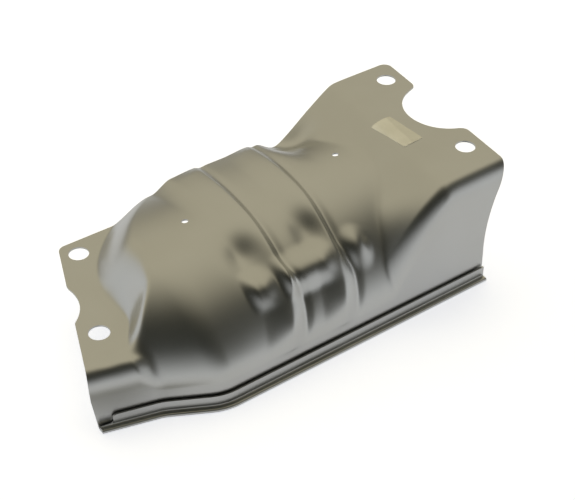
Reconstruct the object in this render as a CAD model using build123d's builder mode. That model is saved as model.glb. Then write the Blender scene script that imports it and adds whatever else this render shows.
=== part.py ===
"""Pressed steel heat shield: one sheet with a ribbed dome, two bolt flanges, a skirt and a folded hem.

Frame: +X along the straight rear trim edge, +Y to the rear, +Z up, millimetres.
The origin is the middle of the plan box, on the underside of the hem.
"""
from build123d import *
import math
import os

import numpy as np

os.makedirs("parts", exist_ok=True)

# Sheet
sheet_t = 0.8                 # thickness of the pressed sheet
overall_length = 211.5        # left skirt corner to right rear corner
overall_depth = 103.6         # rear trim edge to the outer edge of the lip
left_x = -overall_length / 2
right_x = overall_length / 2
rear_y = overall_depth / 2
front_y = -overall_depth / 2
margin = 10.0                 # cutting bodies run past the sheet by this much

# Flanges
left_flange_z = 27.0          # upper face of the low flange above the hem
right_flange_z = 57.3         # upper face of the high flange above the hem
flange_fold_run = 6.5         # the fold between flange and skirt: its width in plan
flange_fold_drop = 9.0        # and its height on the skirt
left_edge_slant = 20.1        # degrees in plan, left trim edge against Y
right_edge_slant = 5.9        # degrees in plan, right trim edge against Y
corner_r = 4.0                # rounded rear corners of the trimmed outline

# Bolt holes, clear of an M8 screw
bolt_hole_d = 9.0
left_bolt_spacing = 52.8
left_bolt_mid = (left_x + 25.95, rear_y - 33.4)
left_bolt_turn = 19.5         # degrees in plan, line of the pair against Y
right_bolt_spacing = 64.4
right_bolt_mid = (right_x - 13.15, rear_y - 44.4)
right_bolt_turn = 6.0
seat_d = 13.0                 # struck flat under each bolt hole, where the flange is clamped
seat_depth = 0.05

# Clearance notches in the two outer trim edges
notch_r = 20.0
right_notch_y = rear_y - 45.3
right_notch_out = 3.1         # centre of the notch outside the trim edge
left_notch_y = rear_y - 31.1
left_notch_depth = 3.6
right_mouth_r = 4.0           # rounded mouth corners of the right notch
left_mouth_r = 8.0            # rear mouth corner of the left notch, whose front one is sharp

# Trimmed ends of the skirt, seen from the front
left_foot_x = left_x + 1.6    # left end of the hem
right_foot_x = right_x - 21.35  # right end of the hem
right_curve_z = 15.0          # the right-hand edge is upright below this height
right_curve_mid = (right_x - 16.55, 42.5)

# Hem: lip, closed fold and the strip that stands up on the outside of the skirt
lip_reach = 4.0               # outer face of the skirt to the outer edge of the lip
strip_inset = 2.0             # outer edge of the lip to the outer face of the strip
strip_top_z = 9.2
hem_gap = 0.2                 # between the two layers of the lip
hem_bend_r = 0.5              # inner radius of the two right-angled bends
strip_cut_back = 6.0          # from the left end of the hem to the strip
strip_end_r = 2.5             # rounded end of the strip and hollow corner below it

# Front line in plan: three straight runs joined by two bends
run_angles = (-15.2, -27.7, 0.0)
bend_xs = (left_x + 26.05, left_x + 48.75)
bend_rs = (20.0, 26.0)
skirt_lean = 1.8              # top of the tall skirt stands this far behind its foot

# Dome
dome_rear_z = 35.0            # height of the plain dome at the rear trim edge
strap_rear_z = 39.8           # height of the ribbed middle there
crest_left_z = 45.0
crest_right_z = 49.5
crest_blend_x = (-60.0, 60.0)
crest_depth = 52.0            # crest line behind the skirt
rear_fall_power = 1.8
dome_foot_z = 12.0            # where the rounded front runs into the flat skirt
dome_flank = 1.33             # 1 for a plain quarter ellipse, more for a leaner flank
strap_left_x = -23.5
strap_right_x = 33.5
strap_shoulder = 11.0         # width of the step beside the ribbed middle

# Steep left end of the dome
end_wall_x = left_x + 30.25   # foot of the end in plan
end_wall_bow = 0.0165         # the foot bows to the right towards the rear
end_wall_bow_y = 12.0
end_wall_flare = 10.5         # and runs out to the left at the front
end_wall_flare_y = (-27.0, -4.0)
end_wall_run = (6.0, 15.0)    # width in plan at the front and at the rear
end_wall_run_y = (-20.0, 15.0)

# Slope from the dome up to the high flange
slope_rise = 0.70
slope_top_x = right_x - 33.75  # top of the slope at the rear edge
slope_skew = 0.10             # the top line leans to the left towards the front
slope_fold_run = 18.0
slope_fold_drop = 28.0
# The fold narrows from the slope's to the flange's between these
slope_fold_x = (right_x - 69.75, right_x - 39.75)
crease_blend = 1.5            # softness of the creases at the foot and the top of the slope

# Ribs: each is highest beside its right-hand step
rib_h = 1.7
rib_step = 5.0
rib_front_step = 6.5
rib_crown = 4.0               # the rib is at full height this far left of its step
rib_groove = 0.5              # shallow groove below the step
rib_groove_w = 3.0
rib_step_arcs = (0.4, 0.65)   # the step narrows upwards between these arc values
rib_end_arcs = (-0.35, 0.05)  # and the rib dies out down the skirt between these
rib_fade_run = 11.0
rib_ys = (-46.0, 30.0)
rib_widths = (20.0, 17.0)
rib_rear_xs = (-4.4, 25.0)
rib_foot_xs = (-19.5, 9.5)

# Shelves below the ribs with a steep wall under each, the hollows above them, and the boss
shelf_h = 2.2
shelf_edge = 5.0
shelf_arcs = (0.3, 0.56, 0.85)
shelf_spans = ((-37.5, -22.0), (-15.0, 6.5))
hollow_depth = 1.5
hollow_size = (6.8, 8.9)
hollow_centres = ((-21.0, -9.0), (6.0, -14.0))
boss_centre = (25.5, -27.0)
boss_r = 8.5
boss_flat = 0.35
boss_h = 1.8

# Two small pierced holes in the dome
pierced_d = 3.0
pierced_centres = ((-32.6, 16.0), (46.3, 13.8))

# Stuck-on blank label on the high flange
label_size = (22.5, 11.0)
label_t = 0.12
label_lift = 0.02             # adhesive between the label and the flange
label_mid = (right_x - 33.55, rear_y - 49.3)
label_turn = 93.0
label_corner_r = 0.8

# Stations along the part and rows across it, between which the surface is lofted
station_step = 2.4
overrun = 6.0                 # the surface runs on past the trimmed ends
rear_rows = 9
front_rows = 14
skirt_shares = (0.07, 0.18, 0.34, 0.5, 0.66, 0.8, 0.9, 0.96, 1.0)
hem_shares = (0.12, 0.35, 0.6, 0.8, 0.93)
foot_rows = 3                 # on the bend at the foot of the skirt
fold_rows = 4                 # on the closed fold
knee_rows = 4                 # on the bend up into the strip
skirt_fade = 36.0             # depth down the skirt that counts as one quarter turn


def ramp(low, high, value):
    """0 below low, 1 above high, smooth between them."""
    t = np.clip((value - low) / (high - low), 0.0, 1.0)
    return t * t * (3 - 2 * t)


def window(low, high, edge, value):
    """1 between low and high, with smooth edges centred on them."""
    half = edge / 2
    return ramp(low - half, low + half, value) * (1 - ramp(high - half, high + half, value))


def mix(a, b, t):
    return a + (b - a) * t


def soft_max(a, b, blend):
    return 0.5 * (a + b + np.hypot(a - b, blend))


def soft_min(a, b, blend):
    return 0.5 * (a + b - np.hypot(a - b, blend))


def front_line(x, inset):
    """Y of the front line in plan, moved inwards by inset: straight runs with tangent arcs."""
    headings = [math.radians(angle) for angle in run_angles]
    first_bend = (bend_xs[0], front_y - math.tan(headings[1]) * (bend_xs[1] - bend_xs[0]))
    bends = [((bend_xs[1], front_y), bend_rs[1], headings[1:]), (first_bend, bend_rs[0], headings[:2])]
    y = front_y + inset + 0 * x
    for corner, radius, (before, after) in bends:
        turn = after - before
        side = math.copysign(1.0, turn)
        reach = inset / math.cos(turn / 2)
        corner_x = corner[0] - reach * math.sin((before + after) / 2)
        corner_y = corner[1] + reach * math.cos((before + after) / 2)
        arc_r = radius - side * inset
        tangent = arc_r * math.tan(abs(turn) / 2)
        start_x = corner_x - tangent * math.cos(before)
        start_y = corner_y - tangent * math.sin(before)
        centre_x = start_x - side * arc_r * math.sin(before)
        centre_y = start_y + side * arc_r * math.cos(before)
        arc_y = centre_y - side * np.sqrt(np.maximum(arc_r ** 2 - (x - centre_x) ** 2, 0.0))
        y = np.where(x < corner_x + tangent * math.cos(after), arc_y, y)
        y = np.where(x < start_x, start_y + (x - start_x) * math.tan(before), y)
    return y


def skirt_y(x, z):
    """Y of the outer face of the skirt, which is upright in the hem and leans back above it."""
    lean = skirt_lean * np.maximum(z - strip_top_z, 0.0) / (right_flange_z - strip_top_z)
    return front_line(x, lip_reach) + lean


def round_over(distance, reach):
    """Quarter-ellipse factor: 0 at the skirt with an upright tangent, 1 past the reach."""
    s = np.clip(distance / reach, 0.0, 1.0)
    return np.sqrt(1 - (1 - s) ** 2)


def end_wall_foot(y):
    bow = end_wall_bow * np.maximum(y - end_wall_bow_y, 0.0) ** 2
    return end_wall_x + bow - end_wall_flare * (1 - ramp(*end_wall_flare_y, y))


def slope_z(x, y):
    top_x = slope_top_x - slope_skew * (rear_y - y)
    return soft_min(right_flange_z, right_flange_z - slope_rise * (top_x - x), crease_blend)


def dome_z(x, y, distance):
    """Dome without its left end: crest line, fall to the rear edge, rounded front."""
    crest = mix(crest_left_z, crest_right_z, ramp(*crest_blend_x, x))
    rear = mix(dome_rear_z, strap_rear_z, window(strap_left_x, strap_right_x, strap_shoulder, x))
    crest_y = skirt_y(x, dome_foot_z) + crest_depth
    back = np.maximum((y - crest_y) / (rear_y - crest_y), 0.0)
    front = mix(dome_foot_z, crest, round_over(distance, crest_depth) ** dome_flank)
    return front - (crest - rear) * back ** rear_fall_power


def form_z(x, y, distance):
    """Height of the pressed form without its ribs."""
    fold = flange_fold_drop * (round_over(distance, flange_fold_run) - 1)
    narrow = ramp(*slope_fold_x, x)
    fold_run = mix(slope_fold_run, flange_fold_run, narrow)
    fold_drop = mix(slope_fold_drop, flange_fold_drop, narrow)
    slope = slope_z(x, y) + fold_drop * (round_over(distance, fold_run) - 1)
    body = np.minimum(soft_max(dome_z(x, y, distance), slope, crease_blend), right_flange_z + fold)
    foot = end_wall_foot(y)
    run = mix(*end_wall_run, ramp(*end_wall_run_y, y))
    return mix(left_flange_z + fold, body, ramp(foot, foot + run, x))


def press_depth(x, y, arc):
    """Ribs, shelves, hollows and boss, out from the form. arc is 1 on top and 0 at the skirt."""
    step = mix(rib_front_step, rib_step, ramp(*rib_step_arcs, arc))
    fade = (1 - ramp(rear_y - rib_fade_run, rear_y, y)) * ramp(*rib_end_arcs, arc)
    depth = 0 * x
    for width, rear_x, foot_x in zip(rib_widths, rib_rear_xs, rib_foot_xs):
        across = x - mix(foot_x, rear_x, ramp(*rib_ys, y))
        crown = ramp(-width, -rib_crown, across) * (1 - ramp(-step / 2, step / 2, across))
        groove = np.exp(-((across - step / 2) / rib_groove_w) ** 2)
        depth = depth + (rib_h * crown - rib_groove * groove) * fade
    low, edge, high = shelf_arcs
    shelf = ramp(low, edge, arc) * (1 - ramp(edge, high, arc))
    for span in shelf_spans:
        depth = depth + shelf_h * shelf * window(*span, shelf_edge, x)
    for centre in hollow_centres:
        spread = np.hypot((x - centre[0]) / hollow_size[0], (y - centre[1]) / hollow_size[1])
        depth = depth - hollow_depth * np.exp(-spread ** 2)
    reach = np.hypot(x - boss_centre[0], y - boss_centre[1]) / boss_r
    return depth + boss_h * (1 - ramp(boss_flat, 1.0, reach))


# Plan corners, worked out from the slanted trim edges
left_tan = math.tan(math.radians(left_edge_slant))
right_tan = math.tan(math.radians(right_edge_slant))
left_skirt_y = float(skirt_y(np.float64(left_x), left_flange_z))
left_rear_x = left_x + (rear_y - left_skirt_y) * left_tan
right_line_x = right_x + corner_r * (1 / math.cos(math.radians(right_edge_slant)) - 1)
right_rear_x = right_line_x + corner_r * right_tan
right_front_x = right_rear_x - overall_depth * right_tan
bend_z = sheet_t + hem_bend_r
lip_top_z = 2 * sheet_t + hem_gap


def form_grid():
    """Points of the plain form and their arc value: rows from behind the rear edge over the crest
    and the rounded front (arc 1 to 0), then down the skirt to the bend at its foot."""
    spare = overrun / overall_length
    count = round(overall_length / station_step) + 1
    share = np.linspace(-spare, 1 + spare, count)[:, None]
    skirt_x = mix(left_x, right_front_x, share)
    far_x = mix(left_rear_x, right_rear_x, share)
    rear_share = np.linspace(1 + overrun / crest_depth, 0, rear_rows)[:-1]
    rounding = np.linspace(1, 0, front_rows)
    run = rear_y - skirt_y(skirt_x, dome_foot_z)
    front_distance = crest_depth * (1 - np.cos(rounding * math.pi / 2)) + 0 * run
    distance = np.hstack([crest_depth + rear_share * (run - crest_depth), front_distance])
    arc = np.hstack([np.ones(rear_rows - 1), rounding]) + 0 * run
    x = mix(skirt_x, far_x, distance / run)
    edge_z = form_z(skirt_x, skirt_y(skirt_x, dome_foot_z), 0 * skirt_x)
    y = skirt_y(skirt_x, edge_z) + distance
    z = form_z(x, y, distance)
    low_z = mix(z[:, -1:], bend_z, np.array(skirt_shares))
    low_x = skirt_x + 0 * low_z
    x = np.hstack([x, low_x])
    y = np.hstack([y, skirt_y(low_x, low_z)])
    arc = np.hstack([arc, (low_z - z[:, -1:]) / skirt_fade])
    return np.stack([x, y, np.hstack([z, low_z])], axis=-1), arc


def arc_stops(centre, radius, start, end, count):
    """Points of an arc in the section of the hem, after its first one. Angles are in degrees."""
    angle = np.radians(np.linspace(start, end, count + 1)[1:])
    return np.stack([centre[0] + radius * np.cos(angle), centre[1] + radius * np.sin(angle)], axis=-1)


def line_stops(start, end):
    """Points of a straight stretch in the section of the hem, closer together at both ends."""
    share = np.array([*hem_shares, 1.0])[:, None]
    return mix(np.array(start), np.array(end), share)


def hem_section():
    """Section of the hem on the skirt's outer face, as S inwards from the lip's edge and Z: out
    along the lip, back on itself and up the strip."""
    foot = (lip_reach - hem_bend_r, bend_z)
    turn = (sheet_t + hem_gap / 2, sheet_t + hem_gap / 2)
    knee = (strip_inset - hem_bend_r, lip_top_z + hem_bend_r)
    return np.concatenate([
        arc_stops(foot, hem_bend_r, 0, -90, foot_rows),
        line_stops((foot[0], sheet_t), (turn[0], sheet_t)),
        arc_stops(turn, hem_gap / 2, -90, -270, fold_rows),
        line_stops((turn[0], sheet_t + hem_gap), (knee[0], sheet_t + hem_gap)),
        arc_stops(knee, hem_bend_r + sheet_t, -90, 0, knee_rows),
        line_stops((strip_inset + sheet_t, knee[1]), (strip_inset + sheet_t, strip_top_z)),
    ])


def sheet_grid():
    """Points of the outer surface: the form moved out along its normal, then the hem."""
    points, arc = form_grid()
    normal = np.cross(np.gradient(points, axis=1), np.gradient(points, axis=0))
    normal /= np.linalg.norm(normal, axis=-1, keepdims=True)
    points = points + press_depth(points[..., 0], points[..., 1], arc)[..., None] * normal
    x = points[:, -1:, 0]
    hem = [np.hstack([x, front_line(x, inset), 0 * x + z]) for inset, z in hem_section()]
    return np.concatenate([points, np.stack(hem, axis=1)], axis=1)


def section_wire(station, shares):
    """One spline across the part, from behind the rear edge to the foot of the skirt."""
    stops = [Vector(*[float(c) for c in point]) for point in station]
    return Wire([Edge.make_spline(stops, parameters=shares)])


def bolt_points(middle, spacing, turn):
    """The two hole centres of one flange, in plan."""
    reach = spacing / 2
    lean = math.radians(turn)
    shift = (reach * math.sin(lean), reach * math.cos(lean))
    return [(middle[0] + sign * shift[0], middle[1] + sign * shift[1]) for sign in (1, -1)]


# Outer surface, lofted through the stations. All stations share one spacing of the rows, so that
# the loft doesn't twist.
sheet_points = sheet_grid()
row_gaps = np.linalg.norm(np.diff(sheet_points, axis=1), axis=-1)
row_gaps = np.mean(row_gaps / row_gaps.sum(axis=1, keepdims=True), axis=0)
row_shares = [0.0, *np.cumsum(row_gaps[:-1]).tolist(), 1.0]
sheet_shell = Shell.make_loft([section_wire(station, row_shares) for station in sheet_points])
sheet_face = sheet_shell.faces()[0]

# Trimmed plan outline of the sheet, with its two small holes
left_corner = (left_rear_x, rear_y)
right_corner = (right_rear_x, rear_y)
right_notch_x = right_rear_x - (rear_y - right_notch_y) * right_tan + right_notch_out
left_notch_out = (notch_r - left_notch_depth) / math.cos(math.radians(left_edge_slant))
left_notch_x = left_rear_x - (rear_y - left_notch_y) * left_tan - left_notch_out
right_notch_centre = (right_notch_x, right_notch_y)
left_notch_centre = (left_notch_x, left_notch_y)

with BuildSketch() as outline:
    with BuildLine():
        Polyline(
            left_corner,
            right_corner,
            (right_front_x - margin * right_tan, front_y - margin),
            (left_x - (left_skirt_y - front_y + margin) * left_tan, front_y - margin),
            close=True,
        )
    make_face()
    rear_corners = outline.vertices().group_by(Axis.Y)[-1]
    fillet(rear_corners, radius=corner_r)
    with Locations(right_notch_centre, left_notch_centre):
        Circle(notch_r, mode=Mode.SUBTRACT)
    mouths = outline.vertices().sort_by_distance(right_notch_centre)
    fillet(mouths[:2], radius=right_mouth_r)
    mouths = outline.vertices().sort_by_distance(left_notch_centre)
    fillet(mouths[:2].sort_by(Axis.Y)[-1], radius=left_mouth_r)
    with Locations(*pierced_centres):
        Circle(pierced_d / 2, mode=Mode.SUBTRACT)

# Trimmed ends of the skirt
right_trim_y = float(skirt_y(np.float64(right_foot_x), right_flange_z)) + flange_fold_run
right_fold_x = right_rear_x - (rear_y - right_trim_y) * right_tan
left_trim_y = left_skirt_y + flange_fold_run
top_z = right_flange_z + margin

hem_along = Vector(math.cos(math.radians(run_angles[0])), math.sin(math.radians(run_angles[0])), 0)
hem_inward = Vector(-hem_along.Y, hem_along.X, 0)
hem_end = Vector(left_foot_x, float(front_line(np.float64(left_foot_x), 0.0)), 0)

with BuildPart() as trim:
    add(outline.sketch)
    extrude(amount=top_z)
    # Curved right-hand edge of the skirt
    with BuildSketch(Plane(origin=(0, right_trim_y, 0), x_dir=(1, 0, 0), z_dir=(0, -1, 0))):
        with BuildLine():
            edge = ThreePointArc(
                (right_fold_x, right_flange_z), right_curve_mid, (right_foot_x, right_curve_z)
            )
            Polyline(
                edge @ 1,
                (right_foot_x, -margin),
                (right_x + margin, -margin),
                (right_x + margin, top_z + margin),
                (right_fold_x, top_z + margin),
                edge @ 0,
            )
        make_face()
    extrude(amount=overall_depth, mode=Mode.SUBTRACT)
    # Slanted left-hand edge of the skirt
    with BuildSketch(Plane(origin=(0, left_trim_y, 0), x_dir=(1, 0, 0), z_dir=(0, -1, 0))):
        with BuildLine():
            Polyline(
                (left_foot_x, -margin),
                (left_foot_x, 0),
                (left_x, left_flange_z - flange_fold_drop),
                (left_x, top_z + margin),
                (left_x - overall_depth, top_z + margin),
                (left_x - overall_depth, -margin),
                close=True,
            )
        make_face()
    extrude(amount=overall_depth, mode=Mode.SUBTRACT)
    # The strip stops short of the left end of the hem
    with BuildSketch(Plane(origin=hem_end, x_dir=hem_along, z_dir=hem_inward)) as strip_end:
        with BuildLine():
            Polyline(
                (-margin, lip_top_z),
                (strip_cut_back, lip_top_z),
                (strip_cut_back, strip_top_z),
                (strip_cut_back + 2 * strip_end_r, strip_top_z),
                (strip_cut_back + 2 * strip_end_r, strip_top_z + margin),
                (-margin, strip_top_z + margin),
                close=True,
            )
        make_face()
        fillet(strip_end.vertices().group_by(Axis.X)[1], radius=strip_end_r)
    extrude(amount=(strip_inset + sheet_t + lip_reach) / 2, mode=Mode.SUBTRACT)

bolt_pairs = (
    (left_flange_z, bolt_points(left_bolt_mid, left_bolt_spacing, left_bolt_turn)),
    (right_flange_z, bolt_points(right_bolt_mid, right_bolt_spacing, right_bolt_turn)),
)
seats = [
    Plane(origin=(x, y, flange_z - sheet_t), z_dir=(0, 0, -1))
    for flange_z, points in bolt_pairs
    for x, y in points
]

with BuildPart() as shield:
    thicken(to_thicken=sheet_face & trim.part, amount=sheet_t, normal_override=(0, 0, -1))
    # Bolt holes, each with a flat struck seat on the underside
    with Locations(*seats):
        CounterBoreHole(bolt_hole_d / 2, seat_d / 2, seat_depth, depth=2 * sheet_t)

with BuildPart() as paper_label:
    label_plane = Plane(origin=(*label_mid, right_flange_z + label_lift))
    with BuildSketch(label_plane.rotated((0, 0, label_turn))):
        RectangleRounded(*label_size, radius=label_corner_r)
    extrude(amount=label_t)

shield.part.label = "shield"
export_step(shield.part, "parts/shield.step")
paper_label.part.label = "paper_label"
export_step(paper_label.part, "parts/paper_label.step")
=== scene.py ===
import math

import bpy
import numpy as np
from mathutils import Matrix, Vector


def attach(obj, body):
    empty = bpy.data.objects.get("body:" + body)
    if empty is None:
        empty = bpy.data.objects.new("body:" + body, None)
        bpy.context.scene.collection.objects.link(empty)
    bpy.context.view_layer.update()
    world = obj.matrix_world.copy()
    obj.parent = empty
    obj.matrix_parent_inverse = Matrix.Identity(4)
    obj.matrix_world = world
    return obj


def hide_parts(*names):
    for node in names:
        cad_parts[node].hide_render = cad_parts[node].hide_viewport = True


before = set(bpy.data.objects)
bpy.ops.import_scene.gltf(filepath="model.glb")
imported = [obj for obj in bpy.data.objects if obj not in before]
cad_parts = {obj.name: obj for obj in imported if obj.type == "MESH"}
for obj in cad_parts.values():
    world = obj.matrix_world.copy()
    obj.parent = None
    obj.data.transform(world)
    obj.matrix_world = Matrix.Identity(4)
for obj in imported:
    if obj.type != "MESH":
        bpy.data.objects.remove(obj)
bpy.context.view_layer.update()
mm = 0.001

# Heat shield sheet, in millimetres and degrees. Its outer face is a height over the plan, shaped by the
# distance from the skirt. crest: left and right; rearZ: beside and behind the ribs; endRun: front and rear.
sheet = {
    "thickness": 0.8,
    "leftX": -105.75, "rightX": 105.75, "rearY": 51.8, "frontY": -51.8,
    "lowFlange": 27.0, "highFlange": 57.3, "foldRun": 7.5, "foldDrop": 12.0,
    "leftSlant": 20.1, "rightSlant": 5.9, "cornerR": 4.0,
    "footLeftX": -104.15, "footRightX": 84.4,
    "rightCurve": {"mid": (89.2, 42.5), "lowZ": 15.0},
    "lean": 1.8, "domeFoot": 12.0, "crestDepth": 52.0, "flank": 1.33,
    "crest": (45.0, 49.5), "crestX": (-60.0, 60.0), "rearZ": (35.0, 39.8), "rearPower": 1.8,
    "strapX": (-23.5, 33.5), "strapShoulders": (11.0, 11.0),
    "endX": -75.5, "endBow": 0.0165, "endBowY": 12.0, "endFlare": 10.5, "endFlareY": (-27.0, -4.0),
    "endRun": (9.5, 20.0), "endRunY": (-20.0, 15.0), "endPower": 0.75,
    "slopeRise": 0.70, "slopeTopX": 72.0, "slopeSkew": 0.10, "crease": 1.5,
    "facetX": 62.0, "facetDrop": 0.019, "facetRun": (11.0, 0.80),
}
frontRuns = {"angles": (-15.2, -27.7, 0.0), "bendX": (-79.7, -57.0), "bendR": (20.0, 26.0), "lip": 4.0}
# rows: mesh rows of the hollow bend, the lip, the fold, the way back, the round bend and the strip
hem = {
    "stripInset": 2.6, "stripTop": 6.8, "gap": 0.2, "bendR": 0.5, "stripCut": 6.0, "stripR": 2.0,
    "rows": (5, 3, 8, 2, 6, 12),
}
notches = {
    "radius": 20.0, "rightY": 6.5, "rightOut": 3.1, "leftY": 20.7, "leftDepth": 3.6,
    "rightMouthR": 4.0, "leftMouthR": 8.0,
}
# height and step: low on the front, and on top. widths, rearX and edgeX: first and second rib.
ribs = {
    "height": (2.1, 1.6), "step": (8.5, 3.4), "growArc": (0.36, 0.60), "crown": 2.8,
    "groove": 0.6, "grooveW": 2.0, "fade": 7.0, "endArc": (-0.08, 0.30), "spanY": (-26.0, 50.0),
    "widths": (17.0, 15.0), "rearX": (-4.0, 24.8), "edgeX": (-11.8, 15.3),
    "footShift": -7.0, "footArc": (-0.05, 0.55),
}
# spans: left and right end along X. arcs: foot, edge and upper end up the rounded front.
shelves = {
    "heights": (2.8, 3.3), "edges": (5.5, 10.0), "spans": ((-30.5, -20.5), (-15.5, 9.0)),
    "arcs": ((0.385, 0.53, 0.68), (0.375, 0.52, 0.68)),
}
hollows = {"depth": 2.7, "size": (7.0, 9.0), "centres": ((-23.5, -15.0), (8.5, -18.5))}
boss = {"centre": (23.5, -31.0), "radius": 9.0, "height": 2.2}
valley = {"centre": (44.0, 44.0), "size": (11.0, 8.0), "depth": 2.2}
# Small wrinkles in the low flange beside the end wall; heading is the way that the waves run
wrinkles = (
    {"centre": (-90.0, 22.0), "reach": 9.0, "wave": 7.0, "heading": 100.0, "height": 0.07},
    {"centre": (-88.5, -19.5), "reach": 8.0, "wave": 7.5, "heading": 35.0, "height": 0.11},
    {"centre": (-92.0, -24.0), "reach": 7.0, "wave": 6.5, "heading": 75.0, "height": 0.07},
)
# bolts: middle of each pair (x, y), spacing, turn from the Y axis, height. pierced: x, y, height.
holes = {
    "boltR": 4.5, "piercedR": 1.5, "segments": 96, "cutDepth": 8.0,
    "bolts": ((-79.8, 18.4, 52.8, 19.5, 27.0), (92.6, 7.4, 64.4, 6.0, 57.3)),
    "pierced": ((-32.6, 16.0, 44.0), (46.3, 13.8, 48.0)),
}
# Mesh rows and stations; pull: how fast a trimmed end's shift dies out along its row
grid = {
    "stations": 290, "rear": 50, "rearCrowd": 0.9, "front": 60, "skirt": 20, "skirtFade": 36.0, "pull": 7,
    "repeats": 12, "slopeStep": 0.05, "sharpAngle": 35.0,
}


# Small blending formulas
def ramp(low, high, value):
    t = np.clip((value - low) / (high - low), 0.0, 1.0)
    return t * t * (3 - 2 * t)


# 1 between low and high, 0 outside, with an edge of its own width at each end
def window(low, high, edges, value):
    first, last = edges[0] / 2, edges[1] / 2
    return ramp(low - first, low + first, value) * (1 - ramp(high - last, high + last, value))


def mix(a, b, t):
    return a + (b - a) * t


# Larger or smaller of two heights with the corner rounded: (a + b +- sqrt((a - b)^2 + blend^2)) / 2
def softMax(a, b, blend):
    return 0.5 * (a + b + np.hypot(a - b, blend))


def softMin(a, b, blend):
    return 0.5 * (a + b - np.hypot(a - b, blend))


# Front line in plan: three straight runs with tangent arcs, moved inwards by inset
def frontLine(x, inset):
    headings = [math.radians(angle) for angle in frontRuns["angles"]]
    bendX, bendR = frontRuns["bendX"], frontRuns["bendR"]
    firstY = sheet["frontY"] - math.tan(headings[1]) * (bendX[1] - bendX[0])
    rightBend = ((bendX[1], sheet["frontY"]), bendR[1], headings[1:])
    leftBend = ((bendX[0], firstY), bendR[0], headings[:2])
    y = sheet["frontY"] + inset + 0 * x
    for corner, radius, (before, after) in (rightBend, leftBend):
        turn = after - before
        side = math.copysign(1.0, turn)
        reach = inset / math.cos(turn / 2)
        cornerX = corner[0] - reach * math.sin((before + after) / 2)
        cornerY = corner[1] + reach * math.cos((before + after) / 2)
        arcR = radius - side * inset
        tangent = arcR * math.tan(abs(turn) / 2)
        startX = cornerX - tangent * math.cos(before)
        startY = cornerY - tangent * math.sin(before)
        centreX = startX - side * arcR * math.sin(before)
        centreY = startY + side * arcR * math.cos(before)
        arcY = centreY - side * np.sqrt(np.maximum(arcR ** 2 - (x - centreX) ** 2, 0.0))
        y = np.where(x < cornerX + tangent * math.cos(after), arcY, y)
        y = np.where(x < startX, startY + (x - startX) * math.tan(before), y)
    return y


# The skirt stands a lip's width behind the front line and leans back as it rises
def skirtY(x, z):
    share = np.maximum(z - hem["stripTop"], 0.0) / (sheet["highFlange"] - hem["stripTop"])
    return frontLine(x, frontRuns["lip"]) + sheet["lean"] * share


# Quarter ellipse: 0 with an upright tangent at the skirt, 1 past the reach
def roundOver(distance, reach):
    s = np.clip(distance / reach, 0.0, 1.0)
    return np.sqrt(1 - (1 - s) ** 2)


# Dome: up over the rounded front from its foot to the crest, then down behind it by
# (crest - rear) * (share of the way from the crest to the rear edge) ^ rearPower
def domeZ(x, y, distance):
    s = sheet
    crest = mix(*s["crest"], ramp(*s["crestX"], x))
    rear = mix(*s["rearZ"], window(*s["strapX"], s["strapShoulders"], x))
    crestY = skirtY(x, s["domeFoot"]) + s["crestDepth"]
    back = np.maximum((y - crestY) / (s["rearY"] - crestY), 0.0)
    front = mix(s["domeFoot"], crest, roundOver(distance, s["crestDepth"]) ** s["flank"])
    return front - (crest - rear) * back ** s["rearPower"]


# Height of the outer face: flange, facet, slope and dome, then the end wall down to the low flange.
# At the skirt all of it rounds over by foldDrop.
def formZ(x, y, distance):
    s = sheet
    fold = s["foldDrop"] * (roundOver(distance, s["foldRun"]) - 1)
    inFacet = np.maximum(s["facetX"] - x, 0.0)
    facet = 1 - np.clip(distance / (s["facetRun"][0] + s["facetRun"][1] * inFacet), 0.0, 1.0)
    topX = s["slopeTopX"] - s["slopeSkew"] * (s["rearY"] - y)
    slope = softMin(s["highFlange"], s["highFlange"] - s["slopeRise"] * (topX - x), s["crease"])
    slope = slope + fold - s["facetDrop"] * inFacet ** 2 * facet ** 2
    body = np.minimum(softMax(domeZ(x, y, distance), slope, s["crease"]), s["highFlange"] + fold)
    bow = s["endBow"] * np.maximum(y - s["endBowY"], 0.0) ** 2
    foot = s["endX"] + bow - s["endFlare"] * (1 - ramp(*s["endFlareY"], y))
    run = mix(*s["endRun"], ramp(*s["endRunY"], y))
    return mix(s["lowFlange"] + fold, body, ramp(foot, foot + run, x) ** s["endPower"])


# exp(-r^2), r = distance from the centre in units of the size
def softSpot(x, y, centre, size):
    return np.exp(-((x - centre[0]) / size[0]) ** 2 - ((y - centre[1]) / size[1]) ** 2)


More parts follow.
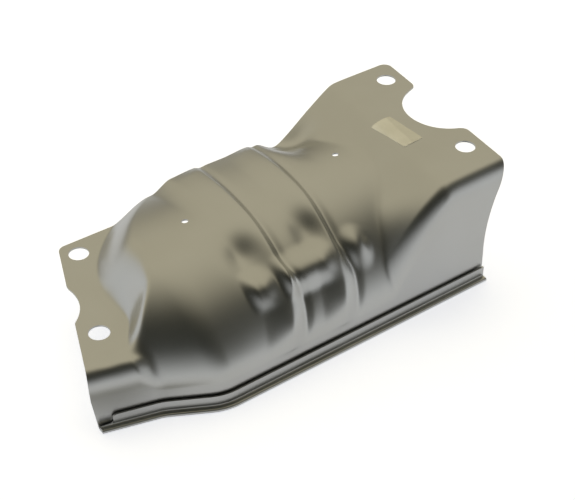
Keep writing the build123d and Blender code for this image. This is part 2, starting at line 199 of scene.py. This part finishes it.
# How far the metal is pressed out. arc is 1 on top, 0 at the skirt's top and falls on below it.
# Each rib rises slowly from the left and drops at a step on its right, which widens below the shelves.
def pressDepth(x, y, arc):
    r = ribs
    upper = ramp(*r["growArc"], arc)
    height, step = mix(*r["height"], upper), mix(*r["step"], upper)
    fade = (1 - ramp(sheet["rearY"] - r["fade"], sheet["rearY"] + r["fade"], y)) * ramp(*r["endArc"], arc)
    along = np.clip((y - r["spanY"][0]) / (r["spanY"][1] - r["spanY"][0]), 0.0, 1.0)
    footShift = r["footShift"] * (1 - ramp(*r["footArc"], arc))
    depth = 0 * x
    for width, rearX, edgeX in zip(r["widths"], r["rearX"], r["edgeX"]):
        across = x - mix(edgeX, rearX, along) - footShift
        crown = ramp(-width, -r["crown"], across) * (1 - ramp(-step / 2, step / 2, across))
        groove = np.exp(-((across - step / 2) / r["grooveW"]) ** 2)
        depth = depth + (height * crown - r["groove"] * groove) * fade
    for rise, (low, edge, high), span in zip(shelves["heights"], shelves["arcs"], shelves["spans"]):
        shelf = ramp(low, edge, arc) * (1 - ramp(edge, high, arc))
        depth = depth + rise * shelf * window(*span, shelves["edges"], x)
    for centre in hollows["centres"]:
        depth = depth - hollows["depth"] * softSpot(x, y, centre, hollows["size"])
    depth = depth - valley["depth"] * softSpot(x, y, valley["centre"], valley["size"])
    for wrinkle in wrinkles:
        heading = math.radians(wrinkle["heading"])
        phase = (x * math.cos(heading) + y * math.sin(heading)) * 2 * math.pi / wrinkle["wave"]
        spot = softSpot(x, y, wrinkle["centre"], (wrinkle["reach"], wrinkle["reach"]))
        depth = depth + wrinkle["height"] * np.sin(phase) * spot
    fromBoss = np.hypot(x - boss["centre"][0], y - boss["centre"][1]) / boss["radius"]
    return depth + boss["height"] * (1 - ramp(0.0, 1.0, fromBoss))


# Trimmed outline in plan, as X for a given Y: a slanted line with a notch whose mouth corners are rounded.
# The notch is a circle; a mouth rounding is a smaller circle that touches both the line and the notch.
def notchedEdge(y, lineX, slope, centre, radius, side, mouths):
    cosine = 1 / math.hypot(1, slope)
    x = lineX + slope * y
    inside = radius ** 2 - (y - centre[1]) ** 2
    notch = centre[0] + side * np.sqrt(np.maximum(inside, 0.0))
    edge = np.where((inside > 0) & (side * (notch - x) > 0), notch, x)
    for sign, mouthR in mouths:
        # the mouth's centre is mouthR inside the line and radius + mouthR from the notch's centre,
        # so its Y is a root of a y^2 + 2 b y + c = 0
        offX = lineX + side * mouthR / cosine
        a = 1 + slope ** 2
        b = slope * (offX - centre[0]) - centre[1]
        c = (offX - centre[0]) ** 2 + centre[1] ** 2 - (radius + mouthR) ** 2
        mouthY = (-b + sign * math.sqrt(b * b - a * c)) / a
        mouthX = offX + slope * mouthY
        lineTouch = mouthY + side * mouthR * cosine * slope
        notchTouch = mix(centre[1], mouthY, radius / (radius + mouthR))
        low, high = sorted((lineTouch, notchTouch))
        arc = mouthX - side * np.sqrt(np.maximum(mouthR ** 2 - (y - mouthY) ** 2, 0.0))
        edge = np.where((y > low) & (y < high), arc, edge)
    return edge


# Rounded rear corner: an arc that touches the slanted line and the rear edge
def cornered(y, edge, lineX, slope, side):
    r = sheet["cornerR"]
    cosine = 1 / math.hypot(1, slope)
    centreY = sheet["rearY"] - r
    centreX = lineX + slope * centreY + side * r / cosine
    arc = centreX - side * np.sqrt(np.maximum(r ** 2 - (y - centreY) ** 2, 0.0))
    return np.where(y > centreY + side * r * cosine * slope, arc, edge)


leftTan = math.tan(math.radians(sheet["leftSlant"]))
rightTan = math.tan(math.radians(sheet["rightSlant"]))
leftSkirtY = float(skirtY(np.float64(sheet["leftX"]), sheet["lowFlange"]))
leftLineX = sheet["leftX"] - leftSkirtY * leftTan
rightLineX = (
    sheet["rightX"] + sheet["cornerR"] * (1 / math.cos(math.radians(sheet["rightSlant"])) - 1)
    - (sheet["rearY"] - sheet["cornerR"]) * rightTan
)


def leftEdge(y):
    n = notches
    outX = (n["radius"] - n["leftDepth"]) / math.cos(math.radians(sheet["leftSlant"]))
    centre = (leftLineX + n["leftY"] * leftTan - outX, n["leftY"])
    edge = notchedEdge(y, leftLineX, leftTan, centre, n["radius"], 1, ((1, n["leftMouthR"]),))
    return cornered(y, edge, leftLineX, leftTan, 1)


def rightEdge(y):
    n = notches
    centre = (rightLineX + n["rightY"] * rightTan + n["rightOut"], n["rightY"])
    mouths = ((1, n["rightMouthR"]), (-1, n["rightMouthR"]))
    edge = notchedEdge(y, rightLineX, rightTan, centre, n["radius"], -1, mouths)
    return cornered(y, edge, rightLineX, rightTan, -1)


# Ends of the skirt seen from the front, as X for a given Z: a straight line, and an arc over an upright line
def leftFrontEdge(z):
    top = sheet["lowFlange"] - sheet["foldDrop"]
    return mix(sheet["footLeftX"], sheet["leftX"], np.clip(z / top, 0.0, 1.0))


# Centre and radius: the centre is as far from b and from c as it is from a, which gives two straight lines
def circleThrough(a, b, c):
    rows = np.array([[b[0] - a[0], b[1] - a[1]], [c[0] - a[0], c[1] - a[1]]])
    sums = np.array([np.dot(b, b) - np.dot(a, a), np.dot(c, c) - np.dot(a, a)]) / 2
    centre = np.linalg.solve(rows, sums)
    return centre, math.dist(centre, a)


rightTrimY = float(skirtY(np.float64(sheet["footRightX"]), sheet["highFlange"])) + sheet["foldRun"]
rightTopX = rightLineX + rightTan * rightTrimY
rightFoot = (sheet["footRightX"], sheet["rightCurve"]["lowZ"])
curveCentre, curveR = circleThrough((rightTopX, sheet["highFlange"]), sheet["rightCurve"]["mid"], rightFoot)


def rightFrontEdge(z):
    side = math.copysign(1.0, rightTopX - curveCentre[0])
    arc = curveCentre[0] + side * np.sqrt(np.maximum(curveR ** 2 - (z - curveCentre[1]) ** 2, 0.0))
    return np.where(z < rightFoot[1], rightFoot[0], arc)


# Hem section on the outer face, as inset from the front line, Z, and the outward normal:
# a hollow bend, the lip, a fold back on itself, a round bend and the strip
def hemSection():
    t, bendR, gap = sheet["thickness"], hem["bendR"], hem["gap"]
    bendZ, lipTop = t + bendR, 2 * t + gap
    foot = (frontRuns["lip"] - bendR, bendZ)
    turn = (t + gap / 2, t + gap / 2)
    knee = (hem["stripInset"] - bendR, lipTop + bendR)

    def arc(centre, radius, start, end, count, sign):
        angle = np.radians(np.linspace(start, end, count + 1)[1:])
        out = np.stack([np.cos(angle), np.sin(angle)], axis=-1)
        return np.hstack([np.array(centre) + radius * out, sign * out])

    def line(start, end, normal, count):
        share = np.linspace(0, 1, count + 1)[1:, None]
        return np.hstack([mix(np.array(start), np.array(end), share), np.tile(normal, (count, 1))])

    footRows, lipRows, foldRows, backRows, kneeRows, stripRows = hem["rows"]
    stripS = hem["stripInset"] + t
    return np.concatenate([
        arc(foot, bendR, 0, -90, footRows, -1),
        line((foot[0], t), (turn[0], t), (0.0, 1.0), lipRows),
        arc(turn, gap / 2, -90, -270, foldRows, -1),
        line((turn[0], t + gap), (knee[0], t + gap), (0.0, -1.0), backRows),
        arc(knee, bendR + t, -90, 0, kneeRows, 1),
        line((stripS, knee[1]), (stripS, hem["stripTop"]), (1.0, 0.0), stripRows),
    ])


# Left end of the strip, as X past the hem's end: a hollow corner, an upright stretch, a rounded top corner
def stripCut(z):
    r = hem["stripR"]
    low, high = 2 * sheet["thickness"] + hem["gap"] + r, hem["stripTop"] - r
    hollow = np.sqrt(r ** 2 - np.clip(low - z, 0.0, r) ** 2) - r
    rounded = r - np.sqrt(r ** 2 - np.clip(z - high, 0.0, r) ** 2)
    return hem["stripCut"] + np.where(z < low, hollow, rounded)


# Stations are even between the two plain slanted lines; those near an end are pulled to its trimmed edge
def spread(left, right, y, share):
    leftLine = leftLineX + leftTan * y[:1]
    rightLine = rightLineX + rightTan * y[-1:]
    pulled = (left - leftLine) * (1 - share) ** grid["pull"] + (right - rightLine) * share ** grid["pull"]
    return mix(leftLine, rightLine, share) + pulled


# Outer face without the hem, row by row from the rear edge to the bend, and arc for each of its points
def sheetGrid():
    share = np.linspace(0, 1, grid["stations"])[:, None]
    rearShare = np.cos(np.linspace(0, math.pi / 2, grid["rear"] + 1)[:-1]) ** grid["rearCrowd"]
    rounding = np.linspace(1, 0, grid["front"])
    arc = np.hstack([np.ones(grid["rear"]), rounding]) + 0 * share
    # Where a station lies along a row depends on the trimmed ends there, so x is found by repetition
    x = mix(sheet["leftX"], sheet["rightX"], share) + 0 * arc
    for _ in range(grid["repeats"]):
        footZ = formZ(x, skirtY(x, sheet["domeFoot"]), 0 * x)
        run = sheet["rearY"] - skirtY(x, footZ)
        rearRows = sheet["crestDepth"] + rearShare * (run[:, :grid["rear"]] - sheet["crestDepth"])
        frontRows = sheet["crestDepth"] * (1 - np.cos(rounding * math.pi / 2)) + 0 * share
        distance = np.hstack([rearRows, frontRows])
        y = np.minimum(skirtY(x, footZ) + distance, sheet["rearY"])
        z = formZ(x, y, distance)
        inFold = distance < sheet["foldRun"]
        left = np.maximum(leftEdge(y), np.where(inFold, leftFrontEdge(z), -np.inf))[:1]
        right = np.minimum(rightEdge(y), np.where(inFold, rightFrontEdge(z), np.inf))[-1:]
        x = spread(left, right, y, share)
    # Skirt rows, from the fold's foot to the bend of the hem
    down = np.linspace(0, 1, grid["skirt"] + 1)[1:]
    lowX = x[:, -1:] + 0 * down
    for _ in range(grid["repeats"]):
        topX = lowX[:, :1]
        topZ = formZ(topX, skirtY(topX, sheet["domeFoot"]), 0 * topX)
        lowZ = mix(topZ, sheet["thickness"] + hem["bendR"], down)
        lowX = spread(leftFrontEdge(lowZ[:1]), rightFrontEdge(lowZ[-1:]), skirtY(lowX, lowZ), share)
    lowY = skirtY(lowX, lowZ)
    points = np.stack([np.hstack([x, lowX]), np.hstack([y, lowY]), np.hstack([z, lowZ])], axis=-1)
    arc = np.hstack([arc, (lowZ - topZ) / grid["skirtFade"]])
    return points, arc


def gridNormals(points):
    normal = np.cross(np.gradient(points, axis=1), np.gradient(points, axis=0))
    return normal / np.linalg.norm(normal, axis=-1, keepdims=True)


# Outer and inner face of the whole sheet, hem included
def sheetSides():
    points, arc = sheetGrid()
    normals = gridNormals(points)
    points = points + pressDepth(points[..., 0], points[..., 1], arc)[..., None] * normals
    points[..., 1] = np.minimum(points[..., 1], sheet["rearY"])
    normals = gridNormals(points)
    share = np.linspace(0, 1, grid["stations"])[:, None]
    inset, z, outS, outZ = hemSection().T
    lipTop = 2 * sheet["thickness"] + hem["gap"]
    leftEnd = leftFrontEdge(z) + np.where(z > lipTop, stripCut(z), 0.0)
    rightEnd = sheet["footRightX"] + 0 * leftEnd
    x = mix(leftEnd, rightEnd, share)
    for _ in range(grid["repeats"]):
        x = spread(leftEnd[None, :], rightEnd[None, :], frontLine(x, inset), share)
    step = grid["slopeStep"]
    slope = (frontLine(x + step, inset) - frontLine(x - step, inset)) / (2 * step)
    scale = 1 / np.hypot(1, slope)
    hemPoints = np.stack([x, frontLine(x, inset), z + 0 * x], axis=-1)
    hemNormals = np.stack([-slope * scale * outS, scale * outS, outZ + 0 * x], axis=-1)
    outer = np.concatenate([points, hemPoints], axis=1)
    normals = np.concatenate([normals, hemNormals], axis=1)
    return outer, outer - sheet["thickness"] * normals


# Closed mesh between two grids of the same size: both faces, and a wall along each of the four edges
def closedMesh(name, outer, inner):
    rows, cols = outer.shape[:2]
    number = np.arange(rows * cols).reshape(rows, cols)
    a, b, c, d = number[:-1, :-1], number[1:, :-1], number[1:, 1:], number[:-1, 1:]
    top = np.stack([a, d, c, b], axis=-1).reshape(-1, 4)
    bottom = np.stack([a, b, c, d], axis=-1).reshape(-1, 4) + rows * cols
    rim = np.concatenate([number[0, :-1], number[:-1, -1], number[-1, :0:-1], number[:0:-1, 0]])
    nextRim = np.roll(rim, -1)
    wall = np.stack([rim, rim + rows * cols, nextRim + rows * cols, nextRim], axis=-1)
    faces = np.concatenate([top, bottom, wall])
    vertices = np.concatenate([outer.reshape(-1, 3), inner.reshape(-1, 3)]) * mm
    mesh = bpy.data.meshes.new(name)
    mesh.vertices.add(len(vertices))
    mesh.vertices.foreach_set("co", vertices.ravel())
    mesh.loops.add(faces.size)
    mesh.loops.foreach_set("vertex_index", faces.ravel().astype(np.int32))
    mesh.polygons.add(len(faces))
    mesh.polygons.foreach_set("loop_start", np.arange(0, faces.size, 4, dtype=np.int32))
    mesh.update(calc_edges=True)
    mesh.validate()
    piece = bpy.data.objects.new(name, mesh)
    bpy.context.collection.objects.link(piece)
    return piece


# One mesh of closed round cutters: (x, y, z, radius) each
def roundCutters(places):
    angle = np.linspace(0, 2 * math.pi, holes["segments"], endpoint=False)
    vertices, faces = [], []
    reach = holes["cutDepth"] / 2
    n = len(angle)
    for x, y, z, radius in places:
        base = 2 * n * len(vertices)
        ring = np.stack([x + radius * np.cos(angle), y + radius * np.sin(angle)], axis=-1)
        low = np.column_stack([ring, np.full(n, z - reach)])
        high = np.column_stack([ring, np.full(n, z + reach)])
        vertices.append(np.vstack([low, high]) * mm)
        faces.append(tuple(base + i for i in range(n - 1, -1, -1)))
        faces.append(tuple(base + n + i for i in range(n)))
        for i in range(n):
            following = (i + 1) % n
            faces.append((base + i, base + following, base + n + following, base + n + i))
    mesh = bpy.data.meshes.new("cutters")
    mesh.from_pydata(np.vstack(vertices).tolist(), [], faces)
    cutter = bpy.data.objects.new("cutters", mesh)
    bpy.context.collection.objects.link(cutter)
    return cutter


def holePlaces():
    places = []
    for x, y, spacing, turn, z in holes["bolts"]:
        shift = spacing / 2 * np.array([math.sin(math.radians(turn)), math.cos(math.radians(turn))])
        for sign in (1, -1):
            places.append((x + sign * shift[0], y + sign * shift[1], z, holes["boltR"]))
    places += [(x, y, z, holes["piercedR"]) for x, y, z in holes["pierced"]]
    return places


# The cut sheet is read back as a plain mesh
def cutHoles(piece):
    cutter = roundCutters(holePlaces())
    cut = piece.modifiers.new("holes", "BOOLEAN")
    cut.operation = "DIFFERENCE"
    cut.solver = "EXACT"
    cut.object = cutter
    depsgraph = bpy.context.evaluated_depsgraph_get()
    cutMesh = bpy.data.meshes.new_from_object(piece.evaluated_get(depsgraph))
    piece.modifiers.clear()
    piece.data = cutMesh
    bpy.data.objects.remove(cutter)


def smoothFaces(piece):
    piece.data.polygons.foreach_set("use_smooth", np.ones(len(piece.data.polygons), dtype=bool))
    piece.data.set_sharp_from_angle(angle=math.radians(grid["sharpAngle"]))


shield = closedMesh("shieldSheet", *sheetSides())
cutHoles(shield)
smoothFaces(shield)
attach(shield, "root")
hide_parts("shield")
print("sheet built:", len(shield.data.polygons), "faces")


# Stuck-on label: a rounded rectangle that follows the flange, half the width w/2 - r + sqrt(r^2 - e^2),
# where e is how far a place reaches into a rounded end
labelShape = {
    "middle": (72.2, 2.5), "size": (22.5, 11.0), "turn": 93.0, "corner": 0.9,
    "lift": 0.02, "thickness": 0.12, "grid": (91, 25),
}


def labelSides():
    g = labelShape
    length, width = g["size"]
    along = length / 2 * np.sin(np.linspace(-math.pi / 2, math.pi / 2, g["grid"][0]))[:, None]
    into = np.clip(np.abs(along) - (length / 2 - g["corner"]), 0.0, g["corner"])
    half = width / 2 - g["corner"] + np.sqrt(g["corner"] ** 2 - into ** 2)
    across = -half * np.linspace(-1, 1, g["grid"][1])
    turn = math.radians(g["turn"])
    x = g["middle"][0] + along * math.cos(turn) - across * math.sin(turn)
    y = g["middle"][1] + along * math.sin(turn) + across * math.cos(turn)
    z = formZ(x, y, y - skirtY(x, sheet["highFlange"])) + g["lift"]
    low = np.stack([x, y, z], axis=-1)
    return low + np.array([0, 0, g["thickness"]]), low


label = closedMesh("labelPaper", *labelSides())
smoothFaces(label)
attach(label, "root")
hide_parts("paper_label")
print("label built:", len(label.data.polygons), "faces")


# Materials
def newMaterial(name):
    material = bpy.data.materials.new(name)
    material.use_nodes = True
    nodes, links = material.node_tree.nodes, material.node_tree.links
    return material, nodes, links, nodes["Principled BSDF"]


# A shader whose varying inputs come from a group, which is fed with the place on the object
def groupMaterial(name, group, joins):
    material, nodes, links, shader = newMaterial(name)
    finish = nodes.new("ShaderNodeGroup")
    finish.node_tree = group
    place = nodes.new("ShaderNodeTexCoord")
    links.new(place.outputs["Object"], finish.inputs["Vector"])
    for output, socket in joins:
        links.new(finish.outputs[output], shader.inputs[socket])
    return material, shader


def newGroup(name, outputs):
    group = bpy.data.node_groups.new(name, "ShaderNodeTree")
    group.interface.new_socket("Vector", in_out="INPUT", socket_type="NodeSocketVector")
    for label, kind in outputs:
        group.interface.new_socket(label, in_out="OUTPUT", socket_type=kind)
    nodes, links = group.nodes, group.links
    return group, nodes, links, nodes.new("NodeGroupInput"), nodes.new("NodeGroupOutput")


# Noise in object space, stretched by a scale per axis
def noiseOf(nodes, links, vector, scale, stretch=(1, 1, 1)):
    place = nodes.new("ShaderNodeMapping")
    place.inputs["Scale"].default_value = stretch
    links.new(vector, place.inputs["Vector"])
    noise = nodes.new("ShaderNodeTexNoise")
    noise.inputs["Scale"].default_value = scale
    links.new(place.outputs["Vector"], noise.inputs["Vector"])
    return noise.outputs["Fac"]


def mixOf(nodes, links, factor, a, b):
    blend = nodes.new("ShaderNodeMix")
    blend.data_type = "RGBA"
    for name, value in (("A", a), ("B", b)):
        if isinstance(value, tuple):
            blend.inputs[name].default_value = (*value, 1)
        else:
            links.new(value, blend.inputs[name])
    links.new(factor, blend.inputs["Factor"])
    return blend.outputs["Result"]


def bandOf(nodes, links, value, low, high, toLow=0.0, toHigh=1.0):
    band = nodes.new("ShaderNodeMapRange")
    band.interpolation_type = "SMOOTHSTEP"
    for name, limit in (("From Min", low), ("From Max", high), ("To Min", toLow), ("To Max", toHigh)):
        band.inputs[name].default_value = limit
    links.new(value, band.inputs["Value"])
    return band.outputs["Result"]


def mathOf(nodes, links, operation, *values):
    step = nodes.new("ShaderNodeMath")
    step.operation = operation
    for socket, value in zip(step.inputs, values):
        if isinstance(value, (int, float)):
            socket.default_value = value
        else:
            links.new(value, socket)
    return step.outputs[0]


def bumpOf(nodes, links, height, strength, distance):
    bump = nodes.new("ShaderNodeBump")
    bump.inputs["Strength"].default_value = strength
    bump.inputs["Distance"].default_value = distance
    links.new(height, bump.inputs["Height"])
    return bump.outputs["Normal"]


# Rolled steel: two close greys in soft clouds, faint rolling streaks along X, a fine grain.
# cloudBand and grainBand: what range of the noise becomes the range of the tints and of the roughness
steelLook = {
    "tints": ((0.565, 0.562, 0.530), (0.625, 0.625, 0.600)), "cloud": 22.0, "cloudBand": (0.2, 0.8),
    "streak": (1.0, 8.0, 8.0), "streakScale": 38.0, "streakShare": 0.06,
    "rough": (0.275, 0.335), "grain": 420.0, "grainShare": 0.03, "grainBand": (0.3, 0.7),
}


def steelMaterial():
    look = steelLook
    outputs = (("Color", "NodeSocketColor"), ("Roughness", "NodeSocketFloat"))
    group, nodes, links, given, out = newGroup("rolledSteel", outputs)
    place = given.outputs["Vector"]
    cloud = noiseOf(nodes, links, place, look["cloud"])
    streak = noiseOf(nodes, links, place, look["streakScale"], look["streak"])
    streak = mathOf(nodes, links, "SUBTRACT", streak, 0.5)
    both = mathOf(nodes, links, "MULTIPLY_ADD", streak, look["streakShare"], cloud)
    shade = bandOf(nodes, links, both, *look["cloudBand"])
    links.new(mixOf(nodes, links, shade, *look["tints"]), out.inputs["Color"])
    grain = mathOf(nodes, links, "SUBTRACT", noiseOf(nodes, links, place, look["grain"]), 0.5)
    rough = mathOf(nodes, links, "MULTIPLY_ADD", grain, look["grainShare"], both)
    links.new(bandOf(nodes, links, rough, *look["grainBand"], *look["rough"]), out.inputs["Roughness"])
    joins = (("Color", "Base Color"), ("Roughness", "Roughness"))
    material, shader = groupMaterial("satinSteel", group, joins)
    shader.inputs["Metallic"].default_value = 1.0
    return material


# Coated cream paper with a faint fibre
paperLook = {
    "tints": ((0.66, 0.635, 0.53), (0.72, 0.695, 0.59)), "cloud": 120.0, "cloudBand": (0.3, 0.7),
    "fibre": 900.0, "fibreStretch": (1, 3, 1), "bump": (0.15, 0.00002), "rough": 0.55,
}


def paperMaterial():
    look = paperLook
    outputs = (("Color", "NodeSocketColor"), ("Normal", "NodeSocketVector"))
    group, nodes, links, given, out = newGroup("creamPaper", outputs)
    place = given.outputs["Vector"]
    shade = bandOf(nodes, links, noiseOf(nodes, links, place, look["cloud"]), *look["cloudBand"])
    links.new(mixOf(nodes, links, shade, *look["tints"]), out.inputs["Color"])
    fibre = noiseOf(nodes, links, place, look["fibre"], look["fibreStretch"])
    links.new(bumpOf(nodes, links, fibre, *look["bump"]), out.inputs["Normal"])
    material, shader = groupMaterial("creamLabel", group, (("Color", "Base Color"), ("Normal", "Normal")))
    shader.inputs["Roughness"].default_value = look["rough"]
    return material


def dress(piece, material):
    piece.data.materials.clear()
    piece.data.materials.append(material)


dress(shield, steelMaterial())
dress(label, paperMaterial())
print("materials built")


# Studio: floor, dome of soft light, camera. lowTo, warmFrom and rearFrom are angles from the horizon on the
# camera's side, up and over the top; the limits of right, rightHeight, sides and sideHeight are shares of
# the dome's radius.
studio = {
    "domeR": 1.6, "domeFrom": 1.0, "faces": (64, 24), "diffuseBoost": 1.6,
    "dark": (0.030, 0.031, 0.025), "warm": (0.60, 0.555, 0.42), "low": (0.70, 0.72, 0.74),
    "rear": (0.16, 0.15, 0.12), "rightShade": (0.07, 0.07, 0.06),
    "lowTo": (0.0, 38.0), "warmFrom": (62.0, 114.0), "rearFrom": (152.0, 180.0),
    "right": (0.34, 0.74), "rightHeight": (0.12, 0.36), "sides": (0.72, 0.98), "sideHeight": (0.22, 0.55),
    # the darker floor colour for mirror rays, and the spot just in front of the left end where mirror rays
    # see less lift, are painted shade in the skirt's reflection
    "floorHalf": 3.0, "floorTint": (0.82, 0.83, 0.86), "mirrorShadeTint": (0.31, 0.32, 0.33),
    "floorLift": (0.64, 0.50), "liftTint": (0.96, 0.975, 1.03),
    "mirrorShadeCentre": (-0.104, -0.066, 0.0), "mirrorShadeReach": (0.014, 0.036), "mirrorShadeLift": 0.12,
}


def plainMesh(name, points, faces):
    mesh = bpy.data.meshes.new(name)
    mesh.from_pydata(points, [], faces)
    piece = bpy.data.objects.new(name, mesh)
    bpy.context.collection.objects.link(piece)
    return piece


def buildFloor():
    s = studio
    size = s["floorHalf"]
    corners = [(-size, -size, 0), (size, -size, 0), (size, size, 0), (-size, size, 0)]
    floor = plainMesh("floor", corners, [(0, 1, 2, 3)])
    # the floor's own colour carries the shadow; what camera and mirror rays see is lifted to white,
    # less so in mirror rays just in front of the left end. Mirror rays also see a darker floor colour: both
    # are painted shade in the skirt's reflection, darkest in front of the left end
    material, nodes, links, shader = newMaterial("paleFloor")
    shader.inputs["Roughness"].default_value = 0.95
    shader.inputs["Specular IOR Level"].default_value = 0.0
    rays = nodes.new("ShaderNodeLightPath")
    tint = mixOf(nodes, links, rays.outputs["Is Glossy Ray"], s["floorTint"], s["mirrorShadeTint"])
    links.new(tint, shader.inputs["Base Color"])
    place = nodes.new("ShaderNodeTexCoord")
    reach = nodes.new("ShaderNodeVectorMath")
    reach.operation = "DISTANCE"
    reach.inputs[1].default_value = s["mirrorShadeCentre"]
    links.new(place.outputs["Object"], reach.inputs[0])
    mirror = bandOf(nodes, links, reach.outputs["Value"], *s["mirrorShadeReach"], s["mirrorShadeLift"], s["floorLift"][1])
    camera = mathOf(nodes, links, "MULTIPLY", rays.outputs["Is Camera Ray"], s["floorLift"][0])
    lift = mathOf(nodes, links, "MULTIPLY_ADD", rays.outputs["Is Glossy Ray"], mirror, camera)
    links.new(lift, shader.inputs["Emission Strength"])
    shader.inputs["Emission Color"].default_value = (*s["liftTint"], 1)
    floor.data.materials.append(material)


# Light from every side: dark band above the camera, warm light over the top, pale low down,
# darker behind and high on the right
def buildDome(heading):
    s = studio
    around, up = s["faces"]
    azimuth = np.linspace(0, 2 * math.pi, around, endpoint=False)
    height = np.radians(np.linspace(s["domeFrom"], 90, up))
    direction = np.stack([
        np.cos(height)[:, None] * np.cos(azimuth), np.cos(height)[:, None] * np.sin(azimuth),
        np.sin(height)[:, None] + 0 * azimuth,
    ], axis=-1)
    number = np.arange(up * around).reshape(up, around)
    beside = np.roll(number, -1, axis=1)
    faces = np.stack([number[:-1], number[1:], beside[1:], beside[:-1]], axis=-1).reshape(-1, 4)
    dome = plainMesh("lightDome", (direction.reshape(-1, 3) * s["domeR"]).tolist(), faces.tolist())
    dome.visible_camera = False
    material = bpy.data.materials.new("domeLight")
    material.use_nodes = True
    nodes, links = material.node_tree.nodes, material.node_tree.links
    nodes.clear()
    place = nodes.new("ShaderNodeTexCoord")
    unit = nodes.new("ShaderNodeVectorMath")
    unit.operation = "NORMALIZE"
    links.new(place.outputs["Object"], unit.inputs[0])

    def along(x, y):
        dot = nodes.new("ShaderNodeVectorMath")
        dot.operation = "DOT_PRODUCT"
        dot.inputs[1].default_value = (x, y, 0)
        links.new(unit.outputs[0], dot.inputs[0])
        return dot.outputs["Value"]

    split = nodes.new("ShaderNodeSeparateXYZ")
    links.new(unit.outputs[0], split.inputs[0])
    towards = along(math.cos(heading), math.sin(heading))
    across = along(-math.sin(heading), math.cos(heading))
    angle = mathOf(nodes, links, "ARCTAN2", split.outputs["Z"], towards)

    def angleBand(limits):
        return bandOf(nodes, links, angle, math.radians(limits[0]), math.radians(limits[1]))

    colour = mixOf(nodes, links, angleBand(s["lowTo"]), s["low"], s["dark"])
    colour = mixOf(nodes, links, angleBand(s["warmFrom"]), colour, s["warm"])
    colour = mixOf(nodes, links, angleBand(s["rearFrom"]), colour, s["rear"])
    rightSide = bandOf(nodes, links, across, *s["right"])
    rightUp = bandOf(nodes, links, split.outputs["Z"], *s["rightHeight"])
    rightHigh = mathOf(nodes, links, "MULTIPLY", rightSide, rightUp)
    colour = mixOf(nodes, links, rightHigh, colour, s["rightShade"])
    side = bandOf(nodes, links, mathOf(nodes, links, "ABSOLUTE", across), *s["sides"])
    lowSide = bandOf(nodes, links, split.outputs["Z"], *s["sideHeight"], 1.0, 0.0)
    colour = mixOf(nodes, links, mathOf(nodes, links, "MULTIPLY", side, lowSide), colour, s["low"])
    glow = nodes.new("ShaderNodeEmission")
    links.new(colour, glow.inputs["Color"])
    # matt things, such as the label and the floor, get more light than mirror rays see
    rays = nodes.new("ShaderNodeLightPath")
    strength = mathOf(nodes, links, "MULTIPLY_ADD", rays.outputs["Is Diffuse Ray"], s["diffuseBoost"], 1.0)
    links.new(strength, glow.inputs["Strength"])
    out = nodes.new("ShaderNodeOutputMaterial")
    links.new(glow.outputs[0], out.inputs["Surface"])
    dome.data.materials.append(material)


def buildWorld():
    world = bpy.data.worlds.new("studioWorld")
    bpy.context.scene.world = world
    world.use_nodes = True
    world.node_tree.nodes["Background"].inputs["Color"].default_value = (1, 1, 1, 1)
    world.node_tree.nodes["Background"].inputs["Strength"].default_value = 1.0


view = {
    "place": (-0.25258, -0.36663, 0.38451), "target": (0.02380, 0.01948, 0.0), "lens": 81.39, "sensor": 36,
}


def buildCamera():
    data = bpy.data.cameras.new("mainCamera")
    data.lens = view["lens"]
    data.sensor_width = view["sensor"]
    camera = bpy.data.objects.new("mainCamera", data)
    bpy.context.collection.objects.link(camera)
    camera.location = view["place"]
    aim = Vector(view["target"]) - Vector(view["place"])
    camera.rotation_euler = aim.to_track_quat("-Z", "Y").to_euler()
    bpy.context.scene.camera = camera


away = Vector(view["place"]) - Vector(view["target"])
buildFloor()
buildDome(math.atan2(away.y, away.x))
buildWorld()
buildCamera()
bpy.context.scene.view_settings.view_transform = "Standard"
print("studio built")
